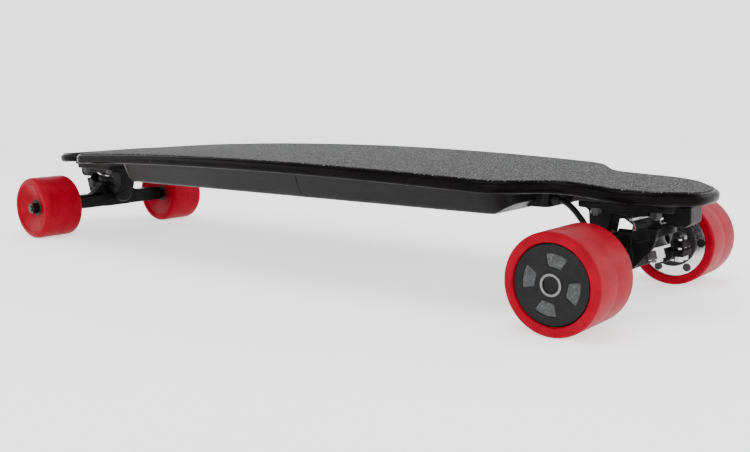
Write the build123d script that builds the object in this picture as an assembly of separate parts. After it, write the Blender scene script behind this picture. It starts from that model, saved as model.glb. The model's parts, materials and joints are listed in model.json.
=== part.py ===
"""Electric skateboard with two hub motors, built as an assembly of separate named pieces.

Units are millimetres. +X runs forward along the deck, +Y to the rider's left and +Z up. The origin
is on the ground, midway between the two trucks. A truck is modelled in its own frame, with its
origin on the axle line at the middle of the hanger and +X outward, and is then put at each end.
"""
from build123d import *
import math
import os

# ---------------------------------------------------------------- driving sizes
WHEELBASE = 776.0              # axle to axle
REAR_R = 41.5                  # hub-motor wheel, 83 mm
REAR_W = 60.0                  # width of a hub-motor wheel
REAR_OUTER_Y = 149.5           # outer face of a rear wheel
FRONT_R = 40.0                 # idle wheel, 80 mm
FRONT_W = 54.0
FRONT_OUTER_Y = 128.0

DECK_HALF = 458.0              # half of the deck's length
DECK_BELLY = 126.0             # half width at the middle
DECK_SHOULDER_X = 290.0        # where the belly ends and the neck begins
DECK_SHOULDER = 112.5          # half width there
DECK_NECK_X = 356.0            # narrowest place beside the wheels
DECK_NECK = 59.0
DECK_PADDLE_X = 393.0          # widest place of the end pad
DECK_PADDLE = 64.0
DECK_CORNER_X = 424.0          # where the end starts to round off
DECK_CORNER = 57.0
DECK_ROUND_X = 445.0           # on the rounded end
DECK_ROUND = 36.0
DECK_T = 11.0                  # laminate
DECK_EDGE_R = 4.6              # rounded edge of the laminate
DECK_RISE = 17.3               # camber: the middle stands this much above the ends
DECK_TOP = 120.4               # top of the laminate at the middle
GRIP_T = 1.0
GRIP_INSET = 4.5               # bare edge left around the grip tape

BOLT_DX = 54.0                 # truck bolt pattern along the board
BOLT_DY = 41.3                 # and across it
BOLT_R = 2.4
BOLT_HOLE_R = 2.75
BOLT_HEAD_R = 4.7
BOLT_HEAD_H = 3.0
NUT_AF = 9.5
NUT_H = 5.0

PLATE_TOP = 50.1               # top of the baseplate above the axle
PLATE_T = 6.0
PLATE_X0 = -42.0
PLATE_X1 = 46.0
PLATE_W = 56.0
PLATE_CORNER = 8.0
TILT = 17.0                    # kingpin from the vertical, and steering axis from the horizontal
RING_X = 16.0                  # centre of the hanger's bushing ring from the axle
RING_Z = 23.0
RING_R = 22.0
RING_T = 10.0
RING_BORE = 8.0
SEAT_R = 12.75                 # bushing seat in the ring
SEAT_D = 2.0
BUSHING_R = 12.4
BUSHING_H = 10.5
BUSHING_WAIST = 1.2            # how far the barrel is drawn in at its middle
CUP_R = 14.0                   # cup washer
CUP_T = 2.0
KINGPIN_R = 4.9
KINGPIN_HEAD_AF = 15.0
KINGPIN_HEAD_H = 4.5
KINGPIN_NUT_AF = 14.3
KINGPIN_NUT_H = 8.5
KINGPIN_TAIL = 3.0             # thread past the nut
BOSS_R = 15.5                  # kingpin boss of the baseplate
BOSS_T = 6.0
PIVOT_DIST = 38.0              # ring centre to pivot centre along the steering axis
NOSE_R = 6.6                   # hanger nose
NOSE_GAP = 0.08                # running clearance in the pivot cup
PIVOT_CUP_R = 9.2
PIVOT_CUP_DEPTH = 12.0
PIVOT_MOUTH = 4.0              # mouth of the cup past the pivot centre
POST_R = 12.5
BEAM_UP = 10.5                 # hanger beam above the axle line
BEAM_DOWN = 8.0
BEAM_X = 9.5                   # half depth of the beam
BODY_Y = 21.0                  # half width of the hanger's middle
GUSSET_Y = 45.0                # where a gusset meets the beam
BUSHING_ROOM = 15.2            # space cut around the lower bushing
STEER_ROOM = 15.0              # the hanger's parts are kept clear through this angle
SWEEP_R = 25.2                 # ball that the turning ring stays inside
GUARD_X = 56.0                 # outer end of the baseplate's guard
GUARD_Y = 13.0
FIT = 0.05                     # radial clearance of a running fit

AXLE_R = 4.0                   # front axle
FRONT_BEAM_END = 76.0
BEARING_R = 11.0               # front wheel bearing
BEARING_BORE = 4.0
BEARING_W = 7.0
BEARING_RACE = 2.6             # radial thickness of a race
FRONT_DISH_IN = 10.0           # depth of the wheel's inner dish
FRONT_DISH_OUT = 9.0
FRONT_LIP_IN = 30.5            # radius of the dish at the face
FRONT_LIP_OUT = 30.0
FRONT_SHOULDER = 6.5
AXLE_NUT_AF = 12.6
AXLE_NUT_H = 7.5
SPEED_WASHER = 1.0

CAN_R = 33.0                   # rotor can, which the rear tyre sits on
CAN_WALL = 3.0
MAGNET_T = 2.2
MAGNET_COUNT = 14
AIR_GAP = 0.6
STATOR_TEETH = 12
STATOR_Y0 = 108.0
STATOR_L = 22.0
CORE_BORE = 12.0
END_PLATE_Y = 93.5             # outer skin of the aluminium end plate
END_PLATE_T = 4.0
SEAL_R0 = 18.8
SEAL_R1 = 23.4
SEAL_T = 2.0
END_SCREW_PCD = 56.0
END_SCREW_COUNT = 6
END_SCREW_HEAD_R = 3.8
END_SCREW_R = 1.9
INNER_BEARING_R = 18.5
INNER_BEARING_BORE = 12.5
INNER_BEARING_Y = 98.0
INNER_BEARING_W = 7.0
OUTER_BEARING_R = 14.0
OUTER_BEARING_BORE = 6.0
OUTER_BEARING_W = 8.0
OUTER_BEARING_Y = 133.5
COVER_Y = 142.5
COVER_T = 5.5
COVER_EDGE = 1.2
WINDOW_R0 = 13.6
WINDOW_R1 = 25.0
WINDOW_ANGLE = 46.0            # angle that one window spans
WINDOW_TURN = 11.0             # first window from the horizontal
WINDOW_COUNT = 4
CAP_RING_R0 = 7.0
CAP_RING_R1 = 9.1
CAP_RING_H = 0.7
SHAFT_R = 10.0
LEAD_ROOM_R = 7.0              # hollow in the beam where the lead turns into the shaft
LEAD_ROOM_L = 11.0
CLAMP_Y0 = 56.0
CLAMP_Y1 = 80.0
CLAMP_R = 16.0
CLAMP_SLIT = 2.0
CLAMP_BOLT_R = 2.5
CLAMP_BOLT_X = 19.0
CLAMP_BOLT_DY = 6.0            # each side of the clamp's middle
CLAMP_EAR_T = 7.5              # half thickness of the two ears

CASE_FLOOR = 80.0              # underside of the cases above the ground
CASE_WALL = 2.5
CASE_HALF_TOP = 92.0           # half width under the deck
CASE_HALF_BOTTOM = 80.0
CASE_SCREW_Y = 72.6
CASE_BOSS_R = 4.2
CASE_EDGE_R = 6.0
CASE_CORNER_R = 24.0           # upright corners at both ends
CASE_FRONT_X = 250.0
CASE_REAR_X = -308.0
CASE_RAMP = 26.0               # length of the sloping front end
CASE_REAR_RAMP = 15.0
OUTLET_X = -320.0              # rear face of the outlet that the motor leads leave through
OUTLET_Y = 30.0
OUTLET_FLOOR = 83.2
BRIDGE_X0 = -61.0              # joint piece between the two cases
BRIDGE_X1 = -34.0
SEAM_REAR = 0.9                # open seam behind the joint piece
SEAM_FRONT = 0.15
CASE_SCREW_R = 1.6
CASE_SCREW_HEAD_R = 3.0

CELL_R = 9.1
CELL_L = 65.0
CELL_ROWS = 10
CELL_PITCH = 19.4
CELL_FIRST_X = 22.0
PANEL_X = -196.0               # middle of the port panel on the right side
PANEL_L = 74.0
PANEL_H = 17.6
PANEL_Y = 90.0
PANEL_Z = 94.0
PANEL_T = 2.5
BUTTON_X = -178.0
BUTTON_R = 5.6
BUTTON_TRAVEL = 1.2
BUTTON_PROUD = 1.6
PORT_X = -214.0
PORT_Z = 95.0                  # centre of the charge port and of the button
PORT_R = 4.8
PORT_BORE = 2.9
PORT_CAP_R = 5.6
PORT_CAP_T = 2.0
PORT_CAP_GAP = 0.4             # cap to panel
PLUG_R = 2.2
PLUG_L = 1.4
HINGE_R = 0.9                  # hinge pin of the port cap
KNUCKLE_R = 1.6
KNUCKLE_L = 6.0
HINGE_Z = 87.4
LUG_T = 2.2

CABLE_D = 5.6
CABLE_EXIT_Y = 20.0
CABLE_EXIT_Z = 89.2
GROMMET_R = 4.4
GROMMET_L = 9.0
CABLE_END_Y = 50.5
CABLE_DIVE = 65.0              # slope of the lead where it enters the hanger
CABLE_END_X = -2.0             # its end, from the rear axle line
CABLE_END_Z = 1.0
CABLE_GAP = 0.35

# ---------------------------------------------------------------- worked out from those
HALF_BASE = WHEELBASE / 2
CAMBER_R = (DECK_HALF ** 2 + DECK_RISE ** 2) / (2 * DECK_RISE)
CAMBER_Z = DECK_TOP - CAMBER_R
KING = (-math.sin(math.radians(TILT)), math.cos(math.radians(TILT)))      # towards the baseplate
STEER = (math.cos(math.radians(TILT)), math.sin(math.radians(TILT)))      # outward and up
PIVOT_X = RING_X - PIVOT_DIST * STEER[0]
PIVOT_Z = RING_Z - PIVOT_DIST * STEER[1]
BUSHING_L0 = RING_T / 2 - SEAT_D                  # along the kingpin from the ring's middle
BUSHING_L1 = BUSHING_L0 + BUSHING_H
CUP_L1 = BUSHING_L1 + CUP_T
BOSS_L1 = CUP_L1 + BOSS_T
NUT_L1 = CUP_L1 + KINGPIN_NUT_H
BOLT_CENTRE = (PLATE_X0 + PLATE_X1) / 2
REAR_INNER_Y = REAR_OUTER_Y - REAR_W
FRONT_INNER_Y = FRONT_OUTER_Y - FRONT_W
MAGNET_R0 = CAN_R - CAN_WALL - MAGNET_T
STATOR_R = MAGNET_R0 - AIR_GAP
PARTS = {}


def deck_z(x, skin=0.0):
    """Height of the laminate's top, or of the surface that lies skin above it, at x."""
    return CAMBER_Z + math.sqrt((CAMBER_R + skin) ** 2 - x ** 2)


def keep(name, shape):
    """Files a finished piece under its node name."""
    PARTS[name] = shape


def group(shapes):
    """Several separate solids as one node."""
    return Compound(children=[s for shape in shapes for s in shape.solids()])


def mirrored(shape):
    """The same piece on the other side of the board."""
    return mirror(shape, about=Plane.XZ)


def about_y(profile, y0=0.0):
    """Turns a list of (radius, y) points about the Y axis."""
    face = make_face(Polyline([(r, y + y0) for r, y in profile], close=True))
    return revolve(face, Axis.Y)


def tube_y(r_out, r_in, y0, y1):
    """A plain ring about the Y axis."""
    return about_y([(r_in, y0), (r_out, y0), (r_out, y1), (r_in, y1)])


def rod_y(radius, y0, y1):
    return Pos(0, (y0 + y1) / 2, 0) * Rot(90, 0, 0) * Cylinder(radius, y1 - y0)


def rod_z(radius, z0, z1):
    return Pos(0, 0, (z0 + z1) / 2) * Cylinder(radius, z1 - z0)


def hex_z(across_flats, z0, z1):
    flat = RegularPolygon(across_flats / 2, 6, major_radius=False)
    return Pos(0, 0, z0) * extrude(flat, z1 - z0)


def slab_y(points, half_width):
    """Extrudes an outline of (x, z) points to half_width on each side of the middle."""
    face = Plane.XZ * make_face(Polyline(points, close=True))
    return extrude(face, half_width, both=True)


KING_FRAME = Pos(RING_X, 0, RING_Z) * Rot(0, -TILT, 0)               # its Z is the kingpin's axis
NOSE_FRAME = Pos(PIVOT_X, 0, PIVOT_Z) * Rot(0, 90 - TILT, 0)         # its Z is the steering axis


# ---------------------------------------------------------------- deck
def outline(inset=0.0):
    """Half of the plan outline is drawn from nose to tail, and mirrored; inset draws it smaller."""
    belly, shoulder = DECK_BELLY - inset, DECK_SHOULDER - inset
    neck, paddle, corner = DECK_NECK - inset, DECK_PADDLE - inset, DECK_CORNER - inset
    end = DECK_HALF - inset
    belly_arc = ThreePointArc((-DECK_SHOULDER_X, shoulder), (0, belly), (DECK_SHOULDER_X, shoulder))
    neck_line = Spline((DECK_SHOULDER_X, shoulder), (DECK_NECK_X, neck),
                       tangents=[belly_arc % 1, (1, 0)], tangent_scalars=[1.3, 1.0])
    turn = (DECK_ROUND_X - 0.7 * inset, DECK_ROUND - 0.7 * inset)
    pad = Spline((DECK_NECK_X, neck), (DECK_PADDLE_X, paddle), (DECK_CORNER_X, corner), turn, (end, 0),
                 tangents=[(1, 0), (0, -1)])
    quarter = [neck_line, pad]
    rear = [mirror(edge, about=Plane.YZ) for edge in quarter]
    upper = [belly_arc, *quarter, *rear]
    lower = [mirror(edge, about=Plane.XZ) for edge in upper]
    return make_face(Wire([e for part in upper + lower for e in part.edges()]))


def cambered(face, skin_low, skin_high):
    """The plan outline as a sheet between two skins of the camber's arc."""
    width = 2 * DECK_BELLY + 20
    arc_outer = Rot(90, 0, 0) * Cylinder(CAMBER_R + skin_high, width)
    arc_inner = Rot(90, 0, 0) * Cylinder(CAMBER_R + skin_low, width + 10)
    prism = Pos(0, 0, DECK_TOP - 60) * extrude(face, 90)
    band = prism & (Pos(0, 0, CAMBER_Z) * arc_outer)
    return band - Pos(0, 0, CAMBER_Z) * arc_inner


def bolt_places():
    """(x, y) of the eight truck bolts."""
    return [(end * (HALF_BASE + BOLT_CENTRE) + dx * BOLT_DX / 2, dy * BOLT_DY / 2)
            for end in (1, -1) for dx in (1, -1) for dy in (1, -1)]


def make_deck():
    deck = cambered(outline(), -DECK_T, 0)
    rims = [e for e in deck.edges() if e.length > 20]
    deck = fillet(rims, DECK_EDGE_R)
    grip = cambered(outline(GRIP_INSET), 0, GRIP_T)
    bolts, nuts = [], []
    for x, y in bolt_places():
        top = deck_z(x) - 0.3
        hole = Pos(x, y, 0) * rod_z(BOLT_HOLE_R, 60, 160)
        sink = Pos(x, y, top - BOLT_HEAD_H / 2) * Cone(BOLT_HOLE_R, BOLT_HEAD_R + 0.3, BOLT_HEAD_H)
        clear = Pos(x, y, 0) * rod_z(BOLT_HEAD_R + 0.3, top, top + 6)
        deck = deck - hole - sink - clear
        axle_z = FRONT_R if x > 0 else REAR_R
        seat = axle_z + PLATE_TOP - PLATE_T
        head = Pos(x, y, top - BOLT_HEAD_H / 2) * Cone(BOLT_R, BOLT_HEAD_R, BOLT_HEAD_H)
        tip = seat - NUT_H - 2
        shank = Pos(x, y, 0) * rod_z(BOLT_R, tip, top - BOLT_HEAD_H + 0.1)
        key = Pos(x, y, 0) * hex_z(3.2, top - 1.8, top + 1)
        bolts.append(head + shank - key)
        nut = Pos(x, y, 0) * (hex_z(NUT_AF, seat - NUT_H, seat) - rod_z(BOLT_R, 0, 120))
        nuts.append(nut)
    keep("deck", deck)
    keep("grip_tape", grip)
    keep("truck_bolts", group(bolts))
    keep("truck_nuts", group(nuts))


def make_risers():
    """Angled pads that fill the wedge between the cambered laminate and the level baseplates."""
    pads = []
    for end, axle_z in ((1, FRONT_R), (-1, REAR_R)):
        x_mid = end * (HALF_BASE + BOLT_CENTRE)
        low = axle_z + PLATE_TOP
        plan = RectangleRounded(PLATE_X1 - PLATE_X0 + 4, PLATE_W + 4, PLATE_CORNER)
        pad = Pos(x_mid, 0, low) * extrude(plan, 30)
        arc = Pos(0, 0, CAMBER_Z) * Rot(90, 0, 0) * Cylinder(CAMBER_R - DECK_T, 200)
        pad = pad & arc
        for x, y in bolt_places():
            pad = pad - Pos(x, y, 0) * rod_z(BOLT_HOLE_R, 60, 160)
        pads.append(pad)
    keep("riser_pads", group(pads))


# ---------------------------------------------------------------- truck, in its own frame
def baseplate():
    low = PLATE_TOP - PLATE_T
    plan = RectangleRounded(PLATE_X1 - PLATE_X0, PLATE_W, PLATE_CORNER)
    plate = Pos(BOLT_CENTRE, 0, low) * extrude(plan, PLATE_T)
    plate = fillet(plate.faces().sort_by(Axis.Z)[0].edges(), 1.2)
    boss = KING_FRAME * rod_z(BOSS_R, CUP_L1, CUP_L1 + 40)
    web = slab_y([(-18, low + 2), (24, low + 2), (16, low - 6), (-6, low - 10), (-18, low - 12)], 8)
    post = slab_y([(-38, low + 2), (-14, low + 2), (-17, 28), (-19, 16), (-30, 10), (-36, 22)], 11)
    post = fillet(post.edges().filter_by(Axis.Y).sort_by(Axis.X)[0:1], 3)
    house = rod_z(POST_R, PIVOT_MOUTH - PIVOT_CUP_DEPTH - 3.5, PIVOT_MOUTH)
    house = NOSE_FRAME * fillet(house.edges().filter_by(GeomType.CIRCLE).sort_by(Axis.Z)[0], 6)
    guard = slab_y([(24, low + 2), (GUARD_X, low + 5.4), (GUARD_X, low - 9), (GUARD_X - 5, low - 13),
                    (38, low - 13), (29, low - 4)], GUARD_Y)
    guard = fillet(guard.edges().filter_by(Axis.X), 2)
    solid = plate + web + post + house + guard
    for side in (1, -1):
        rib = Pos(0, side * 19, 0) * slab_y([(-38, low + 1), (34, low + 1), (20, low - 5),
                                             (-30, low - 5)], 2)
        solid = solid + rib
    sweep = Sphere(SWEEP_R) & Pos(0, 0, 12.5 - 50) * Box(100, 100, 100)
    solid = solid - KING_FRAME * sweep - KING_FRAME * rod_z(CUP_R + 1.5, CUP_L1 - 20, CUP_L1)
    solid = solid + boss
    solid = solid - Pos(0, 0, PLATE_TOP + 20) * Box(200, 100, 40)
    solid = solid - KING_FRAME * rod_z(KINGPIN_R + 0.15, 0, 60)
    solid = solid - KING_FRAME * rod_z(KINGPIN_HEAD_AF / 2 / math.cos(math.pi / 6) + 0.4, BOSS_L1, 60)
    solid = solid - NOSE_FRAME * rod_z(PIVOT_CUP_R, PIVOT_MOUTH - PIVOT_CUP_DEPTH, PIVOT_MOUTH + 30)
    for dx in (1, -1):
        for dy in (1, -1):
            at = Pos(BOLT_CENTRE + dx * BOLT_DX / 2, dy * BOLT_DY / 2, 0)
            solid = solid - at * rod_z(BOLT_HOLE_R, 30, 60)
            solid = solid - at * rod_z(NUT_AF / 2 / math.cos(math.pi / 6) + 1.2, 0, low)
    return max(solid.solids(), key=lambda s: s.volume)


def kingpin():
    head = hex_z(KINGPIN_HEAD_AF, BOSS_L1, BOSS_L1 + KINGPIN_HEAD_H)
    shank = rod_z(KINGPIN_R, -NUT_L1 - KINGPIN_TAIL, BOSS_L1)
    shank = chamfer(shank.edges().sort_by(Axis.Z)[0], 0.8)
    pin = KING_FRAME * (head + shank)
    return pin - Pos(0, 0, PLATE_TOP + 20) * Box(200, 100, 40)


def kingpin_nut():
    nut = hex_z(KINGPIN_NUT_AF, -NUT_L1, -CUP_L1)
    nut = nut & Cone(KINGPIN_NUT_AF * 0.5, KINGPIN_NUT_AF * 0.5 + 40, 40).moved(
        Location((0, 0, -NUT_L1 + 20)))
    return KING_FRAME * (nut - rod_z(KINGPIN_R, -80, 0))


def cup_washers():
    def washer(sign):
        l0, l1 = sorted((sign * BUSHING_L1, sign * CUP_L1))
        return rod_z(CUP_R, l0, l1) - rod_z(KINGPIN_R + 0.2, -80, 80)
    return [KING_FRAME * washer(1), KING_FRAME * washer(-1)]


def bushings():
    """Barrel bushings, waisted, one each side of the hanger's ring."""
    mid = BUSHING_L0 + BUSHING_H / 2
    bore = KINGPIN_R + 0.2
    wall = ThreePointArc((BUSHING_R, BUSHING_L0), (BUSHING_R - BUSHING_WAIST, mid),
                         (BUSHING_R, BUSHING_L1))
    rest = Polyline((BUSHING_R, BUSHING_L1), (bore, BUSHING_L1), (bore, BUSHING_L0),
                    (BUSHING_R, BUSHING_L0))
    upper = revolve(Plane.XZ * make_face([*wall.edges(), *rest.edges()]), Axis.Z)
    return [KING_FRAME * upper, KING_FRAME * mirror(upper, about=Plane.XY)]


def pivot_cup():
    body = rod_z(PIVOT_CUP_R, PIVOT_MOUTH - PIVOT_CUP_DEPTH, PIVOT_MOUTH)
    room = NOSE_R + NOSE_GAP
    return NOSE_FRAME * (body - rod_z(room, 0, 40) - Sphere(room))


def hanger_middle():
    """What both hangers share: the bushing ring, the pivot nose and the body that joins them."""
    ring = KING_FRAME * rod_z(RING_R, -RING_T / 2, RING_T / 2)
    body = slab_y([(-BEAM_X, -BEAM_DOWN), (-BEAM_X, 9), (-7, 16), (-5, 23), (8, 28), (32, 30), (27, 12),
                   (BEAM_X, -BEAM_DOWN)], BODY_Y - 0.5)
    reach = PIVOT_DIST - RING_R + 2
    nose = NOSE_FRAME * (rod_z(NOSE_R, 0, reach) + Sphere(NOSE_R))
    neck = NOSE_FRAME * (Pos(0, 0, reach - 3) * Cone(NOSE_R, NOSE_R + 4, 9))
    solid = ring + body + nose + neck
    room = rod_z(BUSHING_ROOM, -70, -RING_T / 2)
    for turn in (STEER_ROOM, -STEER_ROOM):
        room = room + Rot(turn, 0, 0) * rod_z(BUSHING_ROOM - 0.4, -70, -10)
    above = KING_FRAME * rod_z(RING_R + 3, RING_T / 2, 50)
    solid = solid - above
    return solid, KING_FRAME * room


def hanger_gussets():
    """Webs that sweep from the ring's sides down to the beam."""
    root, low = BODY_Y - 4, BEAM_UP - 2.5
    wing = Plane.YZ * make_face(Polyline([(root, low), (GUSSET_Y, low + 0.8), (GUSSET_Y - 8, low + 2.6),
                                          (root + 12, low + 6.5), (root + 5, low + 13),
                                          (root, low + 20)], close=True))
    solid = Pos(1, 0, 0) * extrude(wing, 6.5, both=True)
    return solid + mirrored(solid)


def hanger_cuts(solid, room):
    solid = solid - room
    solid = solid - KING_FRAME * rod_z(RING_BORE, -40, 40)
    for sign in (1, -1):
        l0, l1 = sorted((sign * BUSHING_L0, sign * 30))
        solid = solid - KING_FRAME * rod_z(SEAT_R, l0, l1)
    return max(solid.solids(), key=lambda s: s.volume)


def beam(y_end):
    flat = RectangleRounded(2 * BEAM_X, BEAM_UP + BEAM_DOWN, 4)
    bar = Pos(0, 0, (BEAM_UP - BEAM_DOWN) / 2) * Rot(90, 0, 0) * extrude(flat, y_end, both=True)
    return bar


def front_hanger():
    solid, room = hanger_middle()
    solid = solid + beam(FRONT_BEAM_END) + hanger_gussets()
    stub = FRONT_INNER_Y + FRONT_DISH_IN - SPEED_WASHER
    end = rod_y(7.0, FRONT_BEAM_END - 3, stub)
    solid = solid + end + mirrored(end) - rod_y(AXLE_R, -200, 200)
    return hanger_cuts(solid, room)


def rear_hanger():
    """The motor hanger: its ends are split clamps round the motor shafts."""
    solid, room = hanger_middle()
    solid = solid + beam(CLAMP_Y1 - 4) + hanger_gussets()
    mid = (CLAMP_Y0 + CLAMP_Y1) / 2
    width = CLAMP_Y1 - CLAMP_Y0
    collar = rod_y(CLAMP_R, CLAMP_Y0, CLAMP_Y1)
    collar = chamfer(collar.edges().filter_by(GeomType.CIRCLE), 1.5)
    ear_end = CLAMP_BOLT_X + 5.5
    ear = Pos(ear_end / 2, mid, 0) * Box(ear_end, width - 3, 2 * CLAMP_EAR_T)
    inner = rod_y(SHAFT_R, CLAMP_Y0, CLAMP_Y1 + 10)
    inner = inner + rod_y(LEAD_ROOM_R, CLAMP_Y0 - LEAD_ROOM_L, CLAMP_Y0)
    inner = inner + Pos(CLAMP_R, mid, 0) * Box(2 * CLAMP_R, width + 0.01, CLAMP_SLIT)
    for dy in (-CLAMP_BOLT_DY, CLAMP_BOLT_DY):
        inner = inner + Pos(CLAMP_BOLT_X, mid + dy, 0) * rod_z(CLAMP_BOLT_R, -20, 20)
    hole = Pos(CABLE_END_X, CABLE_END_Y, CABLE_END_Z) * Rot(0, 90 + CABLE_DIVE, 0)
    hole = hole * Pos(0, 0, -15) * Cylinder(CABLE_D / 2 + CABLE_GAP, 30)
    for put in (lambda s: s, mirrored):
        solid = solid + put(collar + ear)
        solid = solid - put(inner) - put(hole)
    return hanger_cuts(solid, room)


def clamp_bolts():
    """Cap screws that close the clamps, entered from below."""
    made = []
    mid = (CLAMP_Y0 + CLAMP_Y1) / 2
    for side in (1, -1):
        for dy in (-CLAMP_BOLT_DY, CLAMP_BOLT_DY):
            at = Pos(CLAMP_BOLT_X, side * (mid + dy), 0)
            head = rod_z(4.2, -CLAMP_EAR_T - 4.5, -CLAMP_EAR_T)
            head = head - hex_z(4, -CLAMP_EAR_T - 5.5, -CLAMP_EAR_T - 2)
            made.append(at * (head + rod_z(CLAMP_BOLT_R, -CLAMP_EAR_T, CLAMP_EAR_T + 1.5)))
    return made


# ---------------------------------------------------------------- front wheels
def front_wheel():
    """The moulded wheel, dished on both faces down to its bearing seats."""
    y0, y1 = FRONT_INNER_Y, FRONT_OUTER_Y
    s = FRONT_SHOULDER
    k = s * (1 - math.sqrt(0.5))
    seat_in, seat_out = y0 + FRONT_DISH_IN, y1 - FRONT_DISH_OUT
    hub = BEARING_R + 2.5
    edges = [
        *Polyline((BEARING_R, seat_in), (hub, seat_in), (FRONT_LIP_IN, y0 + 2),
                  (FRONT_LIP_IN + 2, y0), (FRONT_R - s, y0)).edges(),
        *ThreePointArc((FRONT_R - s, y0), (FRONT_R - k, y0 + k), (FRONT_R, y0 + s)).edges(),
        *Line((FRONT_R, y0 + s), (FRONT_R, y1 - s)).edges(),
        *ThreePointArc((FRONT_R, y1 - s), (FRONT_R - k, y1 - k), (FRONT_R - s, y1)).edges(),
        *Polyline((FRONT_R - s, y1), (FRONT_LIP_OUT + 2, y1), (FRONT_LIP_OUT, y1 - 2),
                  (hub, seat_out), (BEARING_R, seat_out), (BEARING_R, seat_out - BEARING_W),
                  (BEARING_R - 2, seat_out - BEARING_W), (BEARING_R - 2, seat_in + BEARING_W),
                  (BEARING_R, seat_in + BEARING_W), (BEARING_R, seat_in)).edges(),
    ]
    return revolve(make_face(edges), Axis.Y)


def bearing(r_out, r_in, y0, width, race):
    """A shielded ball bearing as its turning outer part and its still inner race."""
    outer = tube_y(r_out, r_out - race, y0, y0 + width)
    shields = [tube_y(r_out - race, r_in + race + FIT, y, y + 0.6)
               for y in (y0 + 0.2, y0 + width - 0.8)]
    inner = tube_y(r_in + race, r_in, y0, y0 + width)
    return outer + shields[0] + shields[1], inner


def front_side():
    """Bearings of the left front wheel, with the spacer, washers and nut that clamp them."""
    seat_in = FRONT_INNER_Y + FRONT_DISH_IN
    seat_out = FRONT_OUTER_Y - FRONT_DISH_OUT - BEARING_W
    race = (BEARING_R - BEARING_BORE - 1.8) / 2
    outer_a, inner_a = bearing(BEARING_R, BEARING_BORE, seat_in, BEARING_W, race)
    outer_b, inner_b = bearing(BEARING_R, BEARING_BORE, seat_out, BEARING_W, race)
    spacer = tube_y(BEARING_BORE + 1.6, BEARING_BORE, seat_in + BEARING_W, seat_out)
    washer_in = tube_y(6.0, BEARING_BORE, seat_in - SPEED_WASHER, seat_in)
    face = seat_out + BEARING_W
    washer_out = tube_y(6.0, BEARING_BORE, face, face + SPEED_WASHER)
    nut = Pos(0, face + SPEED_WASHER, 0) * Rot(-90, 0, 0) * hex_z(AXLE_NUT_AF, 0, AXLE_NUT_H)
    nut = nut - rod_y(AXLE_R, 0, 300)
    return [outer_a, outer_b], [inner_a, inner_b, spacer, washer_in, washer_out], nut


# ---------------------------------------------------------------- hub motors, left side
def rear_tyre():
    y0, y1 = REAR_INNER_Y, REAR_OUTER_Y
    tyre = tube_y(REAR_R, CAN_R, y0, y1)
    outer_edges = [e for e in tyre.edges().filter_by(GeomType.CIRCLE) if e.radius > REAR_R - 0.1]
    inner_edges = [e for e in tyre.edges().filter_by(GeomType.CIRCLE) if e.radius < CAN_R + 0.1]
    tyre = fillet(outer_edges, 2.6)
    inner_edges = [e for e in tyre.edges().filter_by(GeomType.CIRCLE) if e.radius < CAN_R + 0.1]
    return chamfer(inner_edges, 0.8)


def rotor_can():
    """Cup that carries the magnets, with the outer bearing's seat in its floor."""
    r_in = CAN_R - CAN_WALL
    y0, y1 = END_PLATE_Y + END_PLATE_T, COVER_Y
    seat = OUTER_BEARING_R
    seat_y = OUTER_BEARING_Y
    return about_y([(CAN_R, y0), (CAN_R, y1), (8.0, y1), (8.0, seat_y + OUTER_BEARING_W),
                    (seat, seat_y + OUTER_BEARING_W), (seat, seat_y), (seat + 3, seat_y),
                    (seat + 3, y1 - 4), (r_in, y1 - 4), (r_in, y0)])


def magnets():
    """Curved magnets, glued inside the can, alternating with narrow gaps."""
    made = []
    y0 = STATOR_Y0 - 2
    step = 360 / MAGNET_COUNT
    ring = tube_y(CAN_R - CAN_WALL, MAGNET_R0, y0, y0 + STATOR_L + 4)
    for i in range(MAGNET_COUNT):
        wedge = make_face(Polyline([(0, 0), (50, -50 * math.tan(math.radians(step * 0.44))),
                                    (50, 50 * math.tan(math.radians(step * 0.44)))], close=True))
        cutter = Pos(0, y0 - 5, 0) * Rot(-90, 0, 0) * extrude(wedge, STATOR_L + 20)
        made.append(Rot(0, i * step, 0) * (ring & cutter))
    return made


def end_plate():
    """Aluminium plate that closes the can on the inner side and holds the inner bearing."""
    y0, y1 = END_PLATE_Y, END_PLATE_Y + END_PLATE_T
    lip = INNER_BEARING_R - 2.2
    bear_y = INNER_BEARING_Y
    plate = about_y([(CAN_R, y0), (CAN_R, y1), (INNER_BEARING_R + 3, y1),
                     (INNER_BEARING_R + 3, bear_y + INNER_BEARING_W),
                     (INNER_BEARING_R, bear_y + INNER_BEARING_W), (INNER_BEARING_R, bear_y),
                     (lip, bear_y), (lip, y0 - 0.6), (SEAL_R0, y0 - 0.6), (SEAL_R0, y0)])
    for i in range(END_SCREW_COUNT):
        at = Rot(0, 360 / END_SCREW_COUNT * i + 3, 0) * Pos(END_SCREW_PCD / 2, 0, 0)
        plate = plate - at * rod_y(END_SCREW_R, y0 - 5, y1 + 5)
        plate = plate - at * rod_y(END_SCREW_HEAD_R + 0.3, y0 - 5, y0 + 2.2)
    return plate


def end_screws():
    made = []
    y0 = END_PLATE_Y
    for i in range(END_SCREW_COUNT):
        at = Rot(0, 360 / END_SCREW_COUNT * i + 3, 0) * Pos(END_SCREW_PCD / 2, 0, 0)
        head = rod_y(END_SCREW_HEAD_R, y0 + 0.3, y0 + 2.2)
        socket = Pos(0, y0, 0) * Rot(-90, 0, 0) * hex_z(2.8, -1, 1.4)
        shank = rod_y(END_SCREW_R, y0 + 2.2, y0 + END_PLATE_T)
        made.append(at * (head + shank - socket))
    return made


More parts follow.
